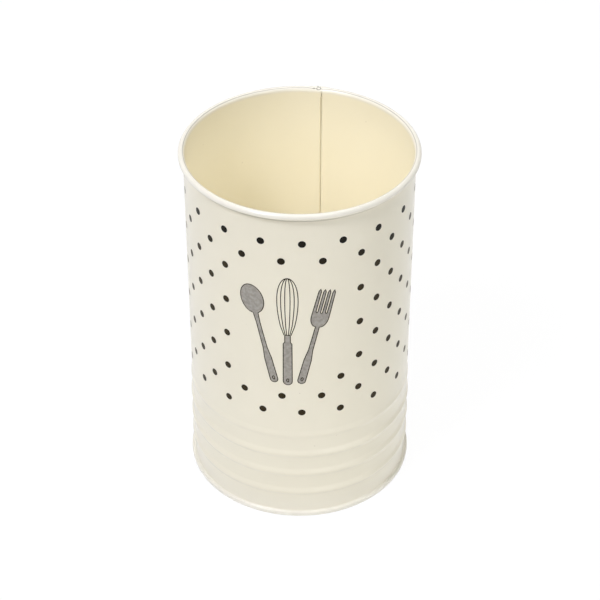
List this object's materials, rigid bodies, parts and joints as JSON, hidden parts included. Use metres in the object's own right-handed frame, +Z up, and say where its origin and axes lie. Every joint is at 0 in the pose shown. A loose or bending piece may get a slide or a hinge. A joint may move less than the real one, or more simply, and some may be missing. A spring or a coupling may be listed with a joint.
{
  "type": "utensil holder",
  "caption": "Open straight-sided sheet-metal utensil holder with a rolled rim, rolled ribs above a seamed base and a lock seam down the back.",
  "frame": {"origin": "centre of the foot, on the plane that the holder stands on", "axes": "+Z up along the wall's axis, the printed front faces -Y, the lock seam is at the back near +Y"},
  "size_m": [0.1106, 0.1106, 0.178],
  "materials": {
    "cream_enamel": "glossy cream enamel on steel sheet",
    "print_ink": "satin dark printing ink on the enamel",
    "print_grey": "satin grey printing ink on the enamel",
    "steel_wire": "drawn steel wire"
  },
  "bodies": {
    "root": {"body_wall": "cream_enamel", "base_pan": "cream_enamel", "rim_wire": "steel_wire"}
  },
  "joints": []
}
